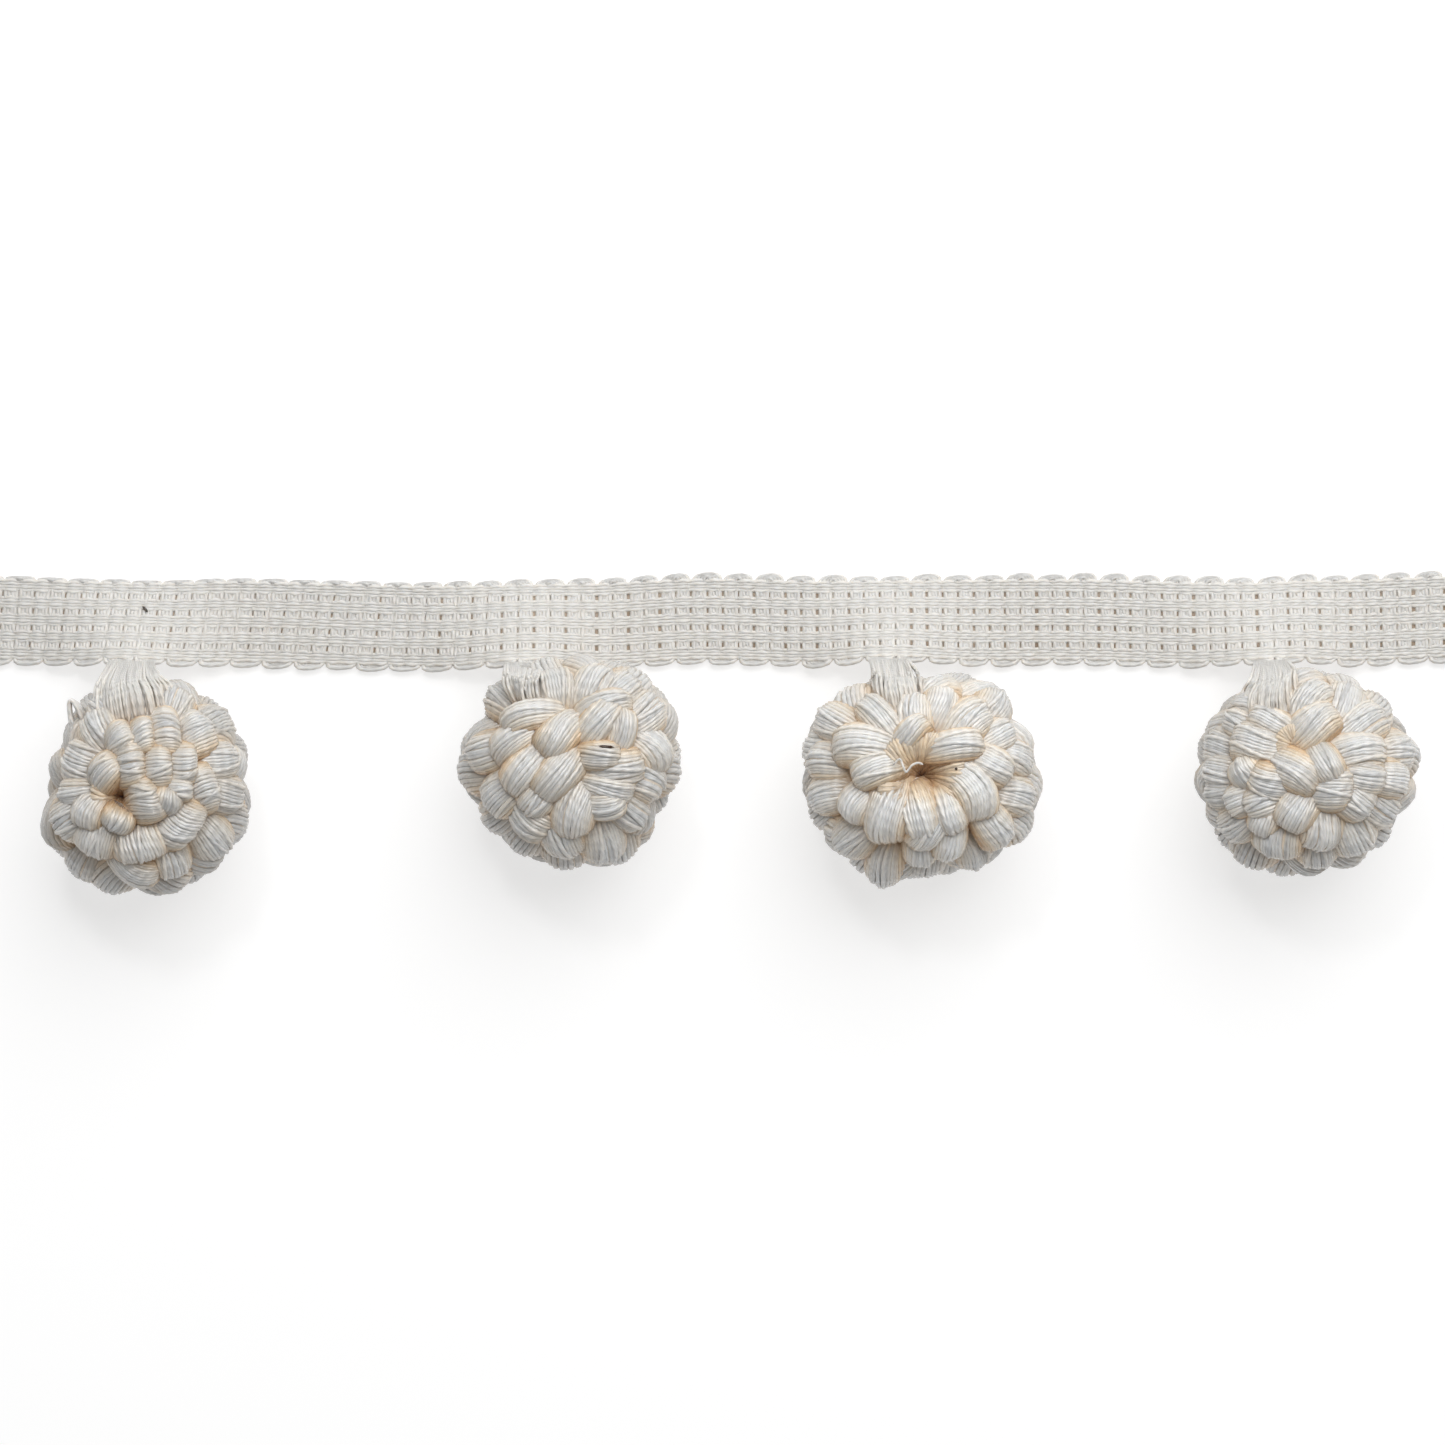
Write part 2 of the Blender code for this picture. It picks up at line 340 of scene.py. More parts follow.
heading = {
    "passPitch": 2.35,
    "passes": 96,
    "width": 13.0,
    "hangerPlaces": (-88.1, -29.5, 24.8, 81.8),
    "lift": 4.2,              # of the lower edge, at a hanger
    "liftReach": 19.0,
    "midHeight": 0.72,
    "warpGroups": 5,
    "groupPitch": 2.53,
    "warpsInGroup": 4,
    "warpPitch": 0.45,
    "warpThickness": 0.78,
    "warpWave": 0.03,
    "warpSwell": 0.12,
    "warpRaise": 0.17,
    "warpSway": 0.02,
    "warpSqueeze": 0.12,      # of each warp group between two passes
    "weftsInPass": 4,
    "weftPitch": 0.475,
    "weftThickness": 0.74,
    "weftRaise": 0.27,        # where the weft comes up between the warp groups
    "pairShift": 0.05,        # draws the passes together in pairs
    "closePlaces": (-52, -24),  # the weave is closer to the left of these
    "closeParts": (1.12, 1.0),
    "weftEdge": 6.0,          # where the weft starts to turn back
    "turnDepth": 0.52,
    "flatPlaces": (-60, -18),  # the upper edge is straighter to the left of these
    "flatParts": (0.25, 1.0),
    "turnSizes": (0.65, 1.15),
    "wander": 0.05,           # of a pass, of its bow, and of the yarns' heights
    "bow": 0.05,
    "heightWander": 0.02,
    "leanPlaces": (-113, -75, -55, -30, 113),
    "leans": (0.08, 0.14, 0.14, 0.0, 0.0),
    # a dark sheet inside the weave, painted shade that shows through the gaps between the yarns
    "shadeSheetWidth": 11.9,
    "shadeSheetThickness": 0.12,
    "fleckAlong": (-86.7, -85.8),  # a dark seed fleck caught in the weave
    "fleckAcross": (2.4, 1.4),
    "fleckHeight": 1.55,
    "seed": 5,
}

# The heading's upper edge as it lies: how far along the trim, and its place across.
EdgeRow = namedtuple("EdgeRow", "along across")
headingEdge = (
    EdgeRow(-113, 24.1),
    EdgeRow(-84, 23.3),
    EdgeRow(-74, 23.6),
    EdgeRow(-41, 22.9),
    EdgeRow(-22, 23.2),
    EdgeRow(-3, 24.0),
    EdgeRow(17, 23.6),
    EdgeRow(50, 23.9),
    EdgeRow(79, 23.3),
    EdgeRow(89, 23.7),
    EdgeRow(113, 24.4),
)


def eased(share):
    return share * share * (3 - 2 * share)


def upperEdge(x):
    along = np.array([row.along for row in headingEdge], float)
    across = np.array([row.across for row in headingEdge], float)
    left = np.clip(np.searchsorted(along, x) - 1, 0, len(along) - 2)
    share = np.clip((x - along[left]) / (along[left + 1] - along[left]), 0, 1)
    return across[left] + (across[left + 1] - across[left]) * eased(share)


def edgeLift(x):
    near = np.min([np.abs(x - place) for place in heading["hangerPlaces"]], axis=0)
    wave = np.cos(math.pi * np.minimum(near / heading["liftReach"], 1) / 2) ** 2
    return heading["lift"] * wave


def onHeading(x, across, height):
    # across runs from the middle to +6.5 at the upper edge, height up from the back
    lift = edgeLift(x)
    width = heading["width"]
    level = np.sqrt(width**2 - lift**2) / width
    down = width / 2 - across
    y = upperEdge(x) - down * level
    z = lift * down / width + height * level
    return np.stack(np.broadcast_arrays(x, y, z), axis=-1)


def lean(across, x):
    # the passes lean a little at the trim's left end
    return across * np.interp(x, heading["leanPlaces"], heading["leans"])


def warpYarns(rng):
    skein = Skein()
    pitch = heading["passPitch"]
    length = heading["passes"] * pitch
    steps = np.arange(heading["passes"] * 4 + 1)
    passPlace = steps / 4
    swell = -np.cos(2 * math.pi * passPlace)
    for group in range(heading["warpGroups"]):
        middle = (group - (heading["warpGroups"] - 1) / 2) * heading["groupPitch"]
        for member in range(heading["warpsInGroup"]):
            offset = (member - (heading["warpsInGroup"] - 1) / 2) * heading["warpPitch"]
            across = middle + offset * (1 + heading["warpSqueeze"] * swell)
            wave = np.cos(math.pi * (passPlace - 0.5 + member % 2))
            sway = np.interp(steps, steps[::12], rng.normal(0, heading["warpSway"], len(steps[::12])))
            x = -length / 2 + passPlace * pitch
            height = heading["midHeight"] + heading["warpRaise"] + heading["warpWave"] * wave
            height = height + heading["warpSwell"] * swell
            height = height + rng.normal(0, heading["heightWander"], len(steps))
            line = onHeading(x + lean(across, x), across + sway, height)
            # painted shade: darker where the warp dips between two passes, lighter where it swells up
            depth = 0.76 + 0.05 * wave + 0.20 * swell
            skein.add(line, depth, tone=rng.uniform(0.97, 1.03), cut=True)
    return skein


def weftYarns(rng):
    skein = Skein()
    pitch = heading["passPitch"]
    count = heading["passes"]
    edge = heading["weftEdge"]
    wefts = heading["weftsInPass"]
    shifts = rng.normal(0, heading["wander"], count)
    shifts = shifts + heading["pairShift"] * np.where(np.arange(count) % 2, -1, 1)
    turnSizes = rng.uniform(*heading["turnSizes"], count)
    places = (np.arange(count) + 1 - count / 2) * pitch
    flatter = np.interp(places, heading["flatPlaces"], heading["flatParts"])
    turnSizes = turnSizes * np.where(np.arange(count) % 2, 1, flatter)
    crossing = np.arange(-4, 5) * heading["groupPitch"] / 2
    raised = heading["weftRaise"] * (np.arange(9) % 2)
    turning = np.linspace(-90, 90, 7)
    for member in range(wefts):
        close = np.interp(places, heading["closePlaces"], heading["closeParts"])
        offsets = (member - (wefts - 1) / 2) * heading["weftPitch"] * close
        xs, acrosses, heights, depths = [], [], [], []
        for number in range(count):
            upward = number % 2 == 0
            side = 1 if upward else -1
            middle = (number + 0.5 - count / 2) * pitch + shifts[number]
            offset = offsets[number]
            along = middle + offset * side
            bow = rng.normal(0, heading["bow"])
            xs.append(along + bow * (1 - (crossing / edge) ** 2))
            acrosses.append(crossing * side)
            uneven = rng.normal(0, heading["heightWander"], len(crossing))
            heights.append(heading["midHeight"] + raised + uneven)
            # painted shade: darker where the weft runs under the warp groups, lighter where it comes
            # up between them
            depths.append(0.75 + 0.15 * (np.arange(9) % 2))
            if number == count - 1:
                break
            nextMiddle = (number + 1.5 - count / 2) * pitch + shifts[number + 1]
            nextAlong = nextMiddle - offset * side
            angle = np.radians(turning)
            span = nextAlong - along
            share = (1 + np.sin(angle)) / 2
            # each turn sags towards one side
            share = share ** 1.5 if side < 0 else 1 - (1 - share) ** 1.5
            xs.append(along + span * share)
            reach = heading["turnDepth"] * turnSizes[number] * (0.6 + abs(span) / 2 / pitch)
            acrosses.append(side * (edge + reach * np.cos(angle)))
            heights.append(heading["midHeight"] + (member - 1.5) * 0.1 + 0.12 * np.cos(angle))
            # painted light: the turns round the edges are drawn lighter
            depths.append(np.full(len(angle), 0.9))
        x = np.concatenate(xs)
        across = np.concatenate(acrosses)
        line = onHeading(x + lean(across, x), across, np.concatenate(heights))
        skein.add(line, np.concatenate(depths), tone=rng.uniform(0.96, 1.03), cut=True)
    return skein


def gridMesh(name, points, material, marks):
    # points is rows by columns by 3; marks are one value for the whole mesh
    rows, columns = points.shape[:2]
    faces = []
    for row in range(rows - 1):
        for column in range(columns - 1):
            low, high = row * columns + column, (row + 1) * columns + column
            faces.append((low, low + 1, high + 1, high))
    mesh = bpy.data.meshes.new(name)
    mesh.from_pydata((points.reshape(-1, 3) * mm).tolist(), [], faces)
    mesh.materials.append(material)
    for mark, value in marks.items():
        layer = mesh.attributes.new(mark, "FLOAT", "POINT")
        layer.data.foreach_set("value", np.full(rows * columns, value, np.float32))
    mesh.shade_smooth()
    return mesh


# a dark sheet inside the weave, painted shade that shows through the gaps between the yarns
def headingBacking():
    x = np.linspace(-0.5, 0.5, 193) * heading["passes"] * heading["passPitch"]
    across = np.linspace(0.5, -0.5, 5) * heading["shadeSheetWidth"]
    grid = onHeading(x[:, None], across[None, :], heading["midHeight"])
    mesh = gridMesh("headingBacking", grid, headingYarn, {"depth": 0.05, "tone": 0.9})
    piece = linked("headingBacking", mesh)
    wall = piece.modifiers.new("thickness", "SOLIDIFY")
    wall.thickness = heading["shadeSheetThickness"] * mm
    wall.offset = 0.0
    graph = bpy.context.evaluated_depsgraph_get()
    piece.data = bpy.data.meshes.new_from_object(piece.evaluated_get(graph))
    piece.modifiers.remove(wall)
    return piece


headingRng = np.random.default_rng(heading["seed"])
warp = warpYarns(headingRng)
fleckAlong = np.linspace(*heading["fleckAlong"], 5)
fleckAcross = np.linspace(*heading["fleckAcross"], 5)
fleck = onHeading(fleckAlong, fleckAcross, heading["fleckHeight"])
warp.add(fleck, 0.0, tone=0.25, thick=0.55)
warpPiece = warp.tubes("headingWarp", heading["warpThickness"], 5, headingYarn)
weftPiece = weftYarns(headingRng).tubes("headingWeft", heading["weftThickness"], 5, headingYarn)
shadeSheet = headingBacking()
for piece in (warpPiece, weftPiece, shadeSheet):
    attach(piece, "root")
    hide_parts("heading_tape")
print("heading woven")


# The pompoms

pompom = {
    "height": 14.0,           # of the ball's middle
    "strandThickness": 0.70,
    "strandPitch": 0.43,
    "hiddenPitch": 0.68,      # in the petals that don't show from above
    "hiddenThick": 1.3,
    "hiddenLength": (7.2, 8.6),
    "hiddenLeastWidth": 5.5,
    "strandSides": 6,
    "strandPoints": 11,
    "strandJitter": 0.028,
    "looseLift": 0.28,
    "fan": 205.0,             # how far round a petal its strands go
    "rise": 14.6,
    "petalRise": (0.60, 0.31),    # at least, and more for each millimetre across
    "spread": 1.02,           # of each petal over its neighbours
    "dip": 1.7,
    "rootWidth": 0.18,
    "tipWidth": 0.55,
    "waver": 0.12,            # of a whole petal, and of each strand in it
    "strandWaver": 0.025,
    "looseStrands": 2,        # that lie askew over each petal
    "creaseDepth": 0.16,      # the painted crease shade of a petal's outermost strands, 1 on its crest
    "underShade": 0.36,       # how much darker, as painted shade, the petals are that face down
    "corePart": 0.78,
    "bodyPart": 1.02,         # of the closed lump under a petal's strands
    "lumpRows": 9,
    "lumpSides": 14,
    "skew": 1.35,             # puts a petal's crest nearer its tip
    "tilt": 0.14,             # lifts the tips over the next petals
    "hiddenReach": 0.975,
    "eyeShade": 3.4,          # how far from an eye its strands are darker with painted shade, and how much
    "eyeDark": 0.58,
    "hollowReach": 4.5,       # of the core under an eye, past the eye's inner radius
    "hollowPart": 1.4,        # of the eye's depth
    "whorlPitch": 0.5,        # of the strands that run down into an eye
    "whorlPoints": 12,
    "whorlWay": (0.0, 0.6, 1.0),
    "whorlEnd": 0.25,
    "whorlSwirl": (0.1, 0.5),
    "whorlSteepness": 1.7,
    "whorlTuck": 1.3,         # under the petals, where the strands start
    # painted shade of the strands that run into an eye, darker further down
    "whorlShadePlaces": (0.0, 0.4, 0.62, 1.0),
    "whorlShades": (0.46, 0.32, 0.10, 0.0),
    "floorGap": 0.50,
    "seed": 23,
}

# One row for each petal that shows from above. x and y are its middle's place from the
# ball's middle, angle the way its strands run, root first, then its length along them, its
# width across them, their twist and how far the petal bends round.
Petal = namedtuple("Petal", "x y angle along across twist bend")

petalsOf1 = (
    Petal(-2.8, 3.4, 8, 4.6, 6.6, 0, 0),
    Petal(1.8, 3.0, 4, 4.3, 6.2, 0, 0),
    Petal(6.0, 3.4, -6, 4.4, 6.4, 10, 0),
    Petal(-0.4, -2.7, 18, 5.2, 7.0, -15, 20),
    Petal(3.5, -3.0, 70, 4.2, 4.2, 0, 0),
    Petal(5.2, -0.9, 0, 4.4, 3.4, 20, 0),
    Petal(5.7, -6.7, -38, 5.6, 8.4, 12, 0),
    Petal(2.9, 9.2, 2, 4.8, 8.0, 8, 0),
    Petal(-0.8, 8.2, 5, 3.6, 5.6, 0, 0),
    Petal(-4.6, 7.6, 30, 4.6, 5.6, 0, 0),
    Petal(8.4, 8.8, 12, 5.2, 7.6, 15, 25),
    Petal(11.6, 10.2, 25, 6.5, 7.0, 0, 0),
    Petal(12.2, 4.2, -4, 7.4, 6.4, 0, 0),
    Petal(13.3, -1.6, -10, 7.6, 6.4, 0, 0),
    Petal(9.6, -1.0, 32, 4.6, 7.4, 0, -20),
    Petal(11.4, -9.2, -55, 7.0, 7.2, -20, 0),
    Petal(4.3, -12.6, -80, 6.4, 5.6, 0, 0),
    Petal(-1.1, -9.9, -75, 5.6, 8.4, -12, 0),
    Petal(-2.2, -13.8, -25, 8.6, 5.4, 20, 20),
    Petal(-8.4, -8.6, 245, 6.2, 7.2, 0, 0),
    Petal(-12.4, -5.6, 205, 7.0, 7.0, 0, 0),
    Petal(-9.4, -4.2, 250, 5.6, 5.2, 0, 0),
    Petal(-4.9, -6.2, 60, 4.2, 4.8, 0, 0),
    Petal(-11.6, -1.6, 190, 6.2, 5.2, 0, 0),
    Petal(-7.4, 1.8, 45, 6.4, 5.2, 0, 0),
    Petal(-11.0, 4.0, 168, 6.4, 8.0, 0, 0),
    Petal(-7.6, 9.4, 125, 6.6, 6.8, 0, 0),
    Petal(4.4, 13.4, 62, 7.4, 7.0, 0, 0),
    Petal(-1.8, 13.4, 98, 7.2, 7.4, 10, 0),
    Petal(-6.6, 12.2, 118, 6.6, 6.0, 0, 0),
)

petalsOf2 = (
    Petal(-1.9, -1.3, 225, 10.4, 5.7, 55, 0),
    Petal(-7.5, -0.8, 222, 9.2, 5.2, 70, 0),
    Petal(-1.6, 5.2, 220, 8.6, 5.4, 60, 0),
    Petal(-9.4, 4.2, 212, 9.4, 5.2, 50, 0),
    Petal(-14.4, 2.0, 200, 7.0, 6.0, 0, 0),
    Petal(-6.6, 8.2, 202, 10.0, 4.8, 25, 15),
    Petal(-11.6, 10.8, 140, 7.6, 6.2, 20, 0),
    Petal(-2.8, 12.6, 100, 7.2, 6.6, 30, 0),
    Petal(4.0, 12.8, 65, 8.0, 7.0, 0, 0),
    Petal(8.0, 11.9, 42, 8.0, 6.0, 0, 0),
    Petal(5.6, 9.6, 8, 8.2, 4.6, 0, -15),
    Petal(4.4, 6.4, 50, 9.0, 5.0, 15, 0),
    Petal(8.0, 5.0, 82, 7.4, 4.6, 0, 0),
    Petal(12.0, 8.2, 30, 8.0, 7.4, 0, 0),
    Petal(13.2, 2.8, -60, 9.0, 7.0, 0, -30),
    Petal(4.3, 1.2, -4, 6.6, 4.2, 0, 0),
    Petal(7.4, -1.2, 15, 9.2, 5.4, 0, 0),
    Petal(6.2, -4.2, -10, 8.2, 4.6, 10, 0),
    Petal(12.2, -2.6, -40, 8.2, 6.6, 0, -25),
    Petal(0.6, -7.9, 250, 9.4, 6.4, 20, 50),
    Petal(5.4, -7.2, 10, 6.4, 4.4, 0, 20),
    Petal(9.6, -8.0, -50, 8.2, 6.2, 0, 0),
    Petal(5.4, -13.4, -80, 9.0, 6.8, 0, 0),
    Petal(-1.9, -12.2, -65, 9.0, 6.8, 25, 0),
    Petal(-7.8, -9.4, -40, 8.4, 7.8, 20, 0),
    Petal(-11.8, -5.4, 215, 7.4, 6.8, 20, 0),
    Petal(-5.7, -5.9, 225, 6.2, 5.2, 30, 0),
)

petalsOf3 = (
    Petal(-6.9, 9.6, 134, 10.0, 5.2, 0, 0),
    Petal(-9.3, 5.2, 176, 11.0, 6.4, 0, 22),
    Petal(-14.4, 9.0, 158, 8.0, 6.2, 0, 0),
    Petal(-16.0, 2.6, 182, 6.6, 6.0, 0, 0),
    Petal(-15.8, -3.2, 190, 7.2, 5.8, 0, 0),
    Petal(-10.8, -4.3, 240, 6.0, 5.4, 20, 0),
    Petal(-7.4, 1.4, 200, 8.0, 5.2, 10, 0),
    Petal(-6.0, -5.6, 262, 10.4, 6.6, 0, 35),
    Petal(4.4, -6.0, 292, 7.0, 4.6, 0, 0),
    Petal(-0.4, -6.5, 285, 8.2, 5.8, 10, -20),
    Petal(1.9, -8.2, 222, 10.0, 5.2, 50, 0),
    Petal(8.4, -1.7, 298, 10.4, 6.4, 0, -45),
    Petal(4.7, -10.6, 250, 7.4, 5.2, 35, 0),
    Petal(12.0, -8.0, 290, 8.2, 5.8, 15, 0),
    Petal(11.5, 2.2, 320, 7.4, 5.4, 20, 0),
    Petal(15.0, 3.4, 332, 8.0, 5.4, 0, 0),
    Petal(15.4, -3.2, 342, 7.4, 6.0, 0, 0),
    Petal(5.4, 5.1, 8, 8.6, 4.6, 0, 0),
    Petal(7.6, 9.2, 45, 8.4, 6.4, 0, -35),
    Petal(11.8, 11.6, 50, 7.2, 6.4, 0, 0),
    Petal(12.4, 6.6, 20, 6.6, 5.0, 0, 0),
    Petal(-1.4, 10.4, 88, 7.2, 6.0, 0, 0),
    Petal(2.9, 11.6, 72, 7.2, 5.6, 0, 0),
    Petal(-2.2, 7.2, 35, 6.4, 3.6, 15, 0),
    Petal(-11.7, -10.2, 230, 7.4, 6.8, 20, 0),
    Petal(-6.5, -15.4, 262, 9.6, 5.4, 15, 0),
    Petal(-0.4, -12.4, 272, 6.0, 5.0, 0, 0),
    Petal(8.6, -13.0, 295, 7.0, 5.2, 0, 0),
)

petalsOf4 = (
    Petal(-9.2, 10.8, 168, 9.0, 4.8, 0, 15),
    Petal(-5.2, 12.2, 95, 7.6, 5.2, 0, 0),
    Petal(-0.2, 12.0, 38, 9.2, 6.0, 0, -30),
    Petal(0.3, 7.9, 30, 9.2, 6.0, 0, 0),
    Petal(6.2, 11.4, 60, 10.0, 7.0, 0, 0),
    Petal(9.0, 8.0, 25, 10.8, 6.8, 0, 0),
    Petal(8.3, 3.5, 0, 9.4, 6.0, 0, -20),
    Petal(14.6, 3.4, -10, 6.6, 6.8, 0, 0),
    Petal(-8.3, 5.0, 175, 9.2, 6.4, 0, 0),
    Petal(-11.4, 8.0, 145, 5.4, 4.4, 0, 0),
    Petal(-6.2, 8.4, 165, 7.4, 4.2, 0, 0),
    Petal(-14.4, 4.2, 170, 6.4, 6.8, 0, 0),
    Petal(-14.4, 0.0, 180, 6.4, 6.2, 0, 0),
    Petal(-14.2, -3.4, 190, 6.4, 6.2, 0, 0),
    Petal(-2.9, 0.6, -32, 9.2, 5.8, 0, 0),
    Petal(2.6, 1.8, -60, 7.0, 5.0, 0, 0),
    Petal(-10.1, -0.5, 120, 5.6, 5.2, 0, 0),
    Petal(-6.0, -1.9, 155, 7.2, 5.4, 0, 0),
    Petal(-7.3, -4.9, 200, 6.2, 5.2, 0, 0),
    Petal(-1.8, -6.1, 240, 7.2, 6.0, 15, 0),
    Petal(3.4, -2.7, -6, 7.2, 7.0, 0, 0),
    Petal(7.9, -4.6, -30, 6.4, 6.4, 0, 0),
    Petal(-7.2, -7.8, 250, 5.2, 4.6, 0, 0),
    Petal(-11.0, -4.6, 210, 5.4, 5.0, 0, 0),
    Petal(-11.8, -8.2, 215, 7.2, 6.8, 0, 0),
    Petal(-5.2, -11.0, 265, 6.6, 7.8, 0, 0),
    Petal(2.3, -9.8, 252, 7.2, 6.8, 0, 0),
    Petal(1.6, -13.4, 275, 6.4, 6.2, 0, 0),
    Petal(7.8, -10.6, -60, 8.0, 7.8, 0, 0),
    Petal(12.0, -5.8, -35, 8.0, 6.8, 0, 0),
    Petal(13.4, -1.0, -18, 7.2, 6.0, 0, 0),
    Petal(9.0, -0.6, -15, 7.2, 5.2, 0, 0),
)

# Where strands run together: x and y from the ball's middle, the radius that the strands come
# from and the one they go down at, how far the rim lies under the ball's top, and the depth.
Eye = namedtuple("Eye", "x y outer inner brim depth")

# x and y are the ball's middle on the table, hanger the place along the heading where its
# hanger leaves, turn the angle of the first hidden petal, outline the reach seen from above
# every 30 degrees, and tone a factor that makes all its strands lighter or darker.
Ball = namedtuple("Ball", "name x y hanger turn outline petals eye tone")
balls = (
    Ball("1", -84.9, -7.1, heading["hangerPlaces"][0], 8,
         (15.5, 15.9, 16.1, 16.4, 15.5, 14.2, 14.2, 17.2, 16.8, 16.9, 16.4, 16.4), petalsOf1,
         Eye(-4.2, -1.9, 4.6, 1.2, 1.9, 4.4), 0.90),
    Ball("2", -22.2, -3.9, heading["hangerPlaces"][1], 20,
         (16.4, 17.2, 17.0, 15.5, 16.3, 15.3, 16.8, 15.8, 15.4, 15.8, 16.6, 15.0), petalsOf2,
         Eye(1.4, 2.6, 3.4, 0.3, 2.0, 2.6), 0.94),
    Ball("3", 29.4, -5.9, heading["hangerPlaces"][2], 0,
         (17.6, 17.0, 17.2, 15.0, 16.4, 18.4, 18.0, 17.3, 17.2, 14.8, 15.6, 17.8), petalsOf3,
         Eye(0.0, -0.1, 7.0, 2.3, 1.8, 5.0), 1.05),
    Ball("4", 86.2, -5.3, heading["hangerPlaces"][3], 14,
         (16.8, 15.8, 15.2, 15.2, 15.8, 16.6, 16.8, 16.7, 16.8, 15.0, 15.3, 15.0), petalsOf4,
         Eye(-1.6, 4.0, 3.4, 0.3, 2.0, 2.6), 0.98),
)

# Rows of petals that don't show from above: degrees down from the top, how many, and how
# far their strands turn from straight down.
HiddenRow = namedtuple("HiddenRow", "down petals swing")
hiddenRows = (
    HiddenRow(78, 13, 75),
    HiddenRow(98, 13, 60),
    HiddenRow(121, 11, 40),
    HiddenRow(145, 8, 25),
    HiddenRow(168, 4, 25),
)

# Dark specks of seed, from end to end, as the camera sees them from the ball's middle.
seedFlecks = {
    "2": ((4.0, 2.5), (6.5, 2.3)),
    "3": ((4.9, 1.3), (5.2, 0.9)),
}

# A slack loop of strands that stands out of a ball, and a pale strand that lies round an eye.
SlackLoop = namedtuple("SlackLoop", "foot tip width strands")
slackLoops = {"1": SlackLoop((-8.9, 7.4), (-10.3, 12.4), 2.1, 5)}
strayStrands = {
    "3": ((-4.4, 1.6), (-3.4, 2.6), (-2.9, 1.6), (-2.4, 0.6), (-1.6, 1.6), (-0.6, 2.0), (0.2, 1.7)),
}


def levelReach(ball, azimuth):
    turn = np.degrees(azimuth) % 360 / 30
    left = np.floor(turn).astype(int) % 12
    share = eased(turn - np.floor(turn))
    outline = np.array(ball.outline)
    return outline[left] * (1 - share) + outline[(left + 1) % 12] * share


def outwards(ball, point):
    reach = levelReach(ball, math.atan2(point[1], point[0]))
    steep = Vector((point[0] / reach**2, point[1] / reach**2, point[2] / pompom["rise"]**2))
    return steep.normalized()


def topPoint(ball, x, y):
    # x and y as the camera sees them, so a high point is nearer the picture's middle
    camera = Vector(photo["centre"])
    height = photo["cameraHeight"]
    middle = Vector((ball.x, ball.y)) - camera
    seen = middle * height / (height - pompom["height"]) + Vector((x, y))
    rise = 0.0
    for step in range(4):
        place = seen * (height - pompom["height"] - rise) / height - middle
        reach = levelReach(ball, math.atan2(place.y, place.x))
        share = min(place.length / reach, 0.96)
        rise = pompom["rise"] * math.sqrt(1 - share**2)
    return Vector((place.x, place.y, rise))


def eyeShade(ball, line):
    # painted shade: the strands are warmer and darker where they run down into the ball's eye
    middle = topPoint(ball, ball.eye.x, ball.eye.y)
    off = np.hypot(line[:, 0] - ball.x - middle.x, line[:, 1] - ball.y - middle.y)
    near = np.clip((off - ball.eye.inner) / pompom["eyeShade"], 0, 1)
    high = line[:, 2] > pompom["height"]
    dark = pompom["eyeDark"]
    return np.where(high, dark + (1 - dark) * eased(near), 1.0)


def petalPoints(row, rise, ballRadius, spread, share):
    # spread is the angle over the petal's width, share how far along its strands
    theta = math.pi * share
    swell = np.sin(math.pi * np.clip(share, 0, 1) ** pompom["skew"]) ** 0.75
    barrel = min(max((row.across / row.along - 0.9) * 1.2, 0), 1)
    root = pompom["rootWidth"] + (0.8 - pompom["rootWidth"]) * barrel
    tip = pompom["tipWidth"] + (0.8 - pompom["tipWidth"]) * barrel
    ends = root + (tip - root) * (1 - np.cos(theta)) / 2
    wide = ends + (1 - ends) * np.sin(theta) ** 0.7
    turn = spread + math.radians(row.twist) * (share - 0.5)
    along = -row.along / 2 * np.cos(theta)
    across = row.across / 2 * np.sin(turn) * wide
    height = rise * np.cos(turn) * swell - pompom["dip"] * (1 - swell) + pompom["tilt"] * along
    height = height - (along**2 + across**2) / (2 * ballRadius)
    along, across = np.broadcast_arrays(along, across)
    if row.bend:
        curve = math.radians(row.bend) / row.along
        angle = curve * along
        along, across = (
            np.sin(angle) / curve - across * np.sin(angle),
            (1 - np.cos(angle)) / curve + across * np.cos(angle),
        )
    return along, across, height


class PetalFrame:
    def __init__(self, ball, point, row, onTop):
        self.out = outwards(ball, point)
        if onTop:
            angle = math.radians(row.angle)
            level = Vector((math.cos(angle), math.sin(angle), 0))
            slope = -(level.x * self.out.x + level.y * self.out.y) / max(self.out.z, 0.12)
            level.z = max(min(slope, 4.0), -4.0)
        else:
            level = self.out.cross(Vector((0, 0, 1))) * math.tan(math.radians(row.angle))
            level.z -= 1
        self.along = (level - self.out * level.dot(self.out)).normalized()
        self.across = self.out.cross(self.along)
        least, more = pompom["petalRise"]
        self.rise = least + more * min(row.along, row.across)
        self.radius = point.length
        centre = Vector((ball.x, ball.y, pompom["height"]))
        self.base = centre + point - self.out * self.rise

    def place(self, along, across, height):
        axes = np.array([self.along, self.across, self.out])
        points = np.stack([along, across, height], axis=-1) @ axes + np.array(self.base)
        points[..., 2] = np.maximum(points[..., 2], pompom["floorGap"])
        return points


